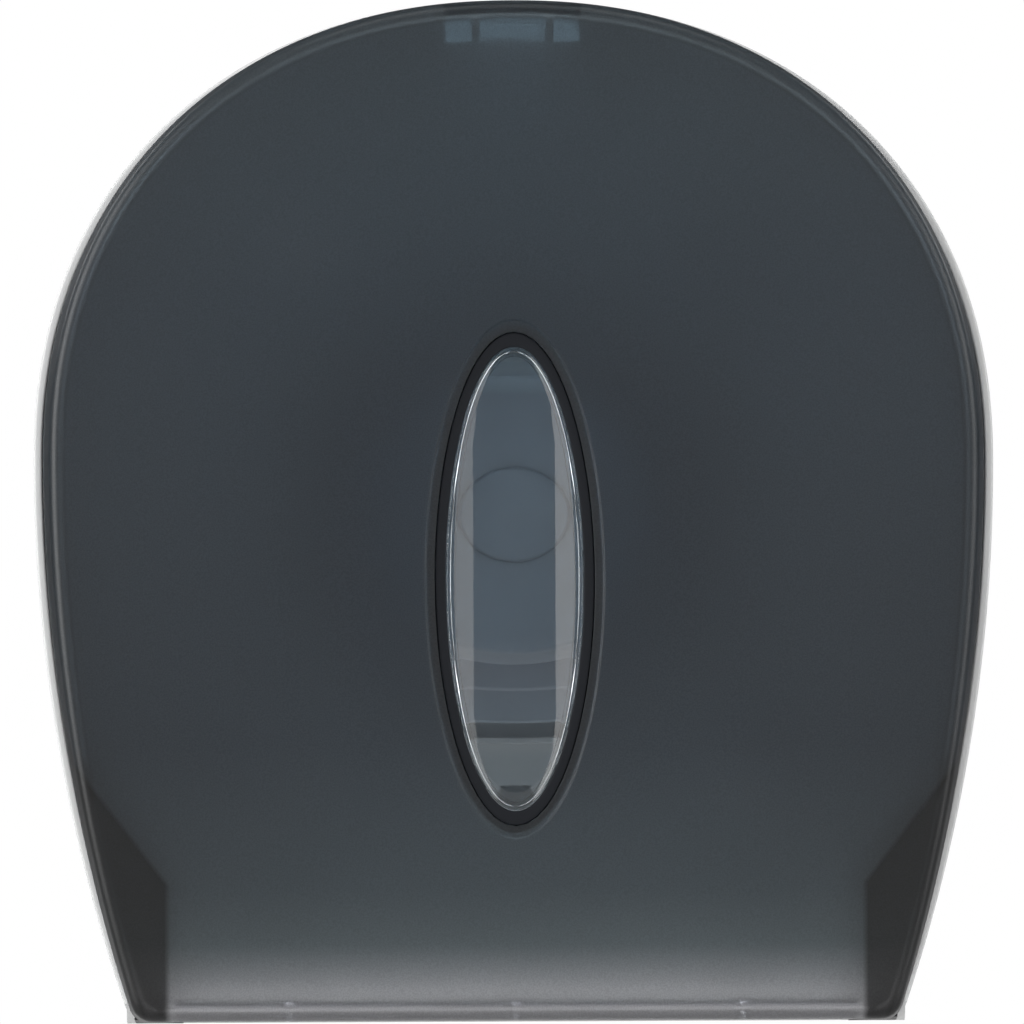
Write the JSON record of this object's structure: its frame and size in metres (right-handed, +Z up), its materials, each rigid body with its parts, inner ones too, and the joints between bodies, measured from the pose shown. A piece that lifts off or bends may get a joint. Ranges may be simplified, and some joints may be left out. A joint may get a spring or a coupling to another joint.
{
  "type": "jumbo toilet roll dispenser",
  "caption": "Wall dispenser for one jumbo toilet roll: pale back plate, drop-down smoke cover with an oval window, turning roll hub, and a sprung top latch.",
  "frame": {"origin": "where the roll's axis meets the wall, at the middle of the wall screw pattern", "axes": "+Z up, +Y into the wall, so the front faces -Y, and +X to the right as seen from the front"},
  "size_m": [0.2694, 0.1369, 0.2868],
  "materials": {
    "plate_grey": "light grey moulded plastic, satin",
    "cover_smoke": "translucent smoke plastic with a fine satin grain",
    "bezel_black": "smooth black plastic",
    "lens_clear": "clear moulded plastic",
    "hub_grey": "mid grey moulded plastic, satin",
    "bush_black": "black acetal, satin",
    "brake_felt": "dense felt",
    "latch_grey": "light grey moulded plastic, satin",
    "steel": "zinc plated or stainless steel"
  },
  "bodies": {
    "back": {"back_plate": "plate_grey", "spindle_post": "steel", "spindle_screws": "steel", "brake_spring": "steel", "brake_pad": "brake_felt", "spindle_washer": "steel", "spindle_screw": "steel", "latch_keeper": "steel", "keeper_screws": "steel", "hinge_pin_left": "steel", "hinge_pin_right": "steel"},
    "hub": {"roll_hub": "hub_grey", "hub_bush_rear": "bush_black", "hub_bush_front": "bush_black", "hub_cap": "hub_grey"},
    "cover": {"front_cover": "cover_smoke", "window_bezel": "bezel_black", "window_lens": "lens_clear", "tear_bar": "steel", "tear_bar_screws": "steel", "latch_bracket": "latch_grey", "bracket_screws": "steel", "latch_pivot_pin": "steel", "latch_spring": "steel"},
    "latch": {"latch_lever": "latch_grey"}
  },
  "joints": [
    {"name": "cover_hinge", "type": "hinge", "parent": "back", "child": "cover", "pos_m": [0, -0.027, -0.1384], "axis": [1, 0, 0], "range_deg": [0, 95]},
    {"name": "hub_spin", "type": "hinge", "parent": "back", "child": "hub", "pos_m": [0, -0.06, 0], "axis": [0, -1, 0], "continuous": true},
    {"name": "latch_pivot", "type": "hinge", "parent": "cover", "child": "latch", "pos_m": [0, -0.0949, 0.12752], "axis": [-1, 0, 0], "range_deg": [0, 2.56]}
  ]
}
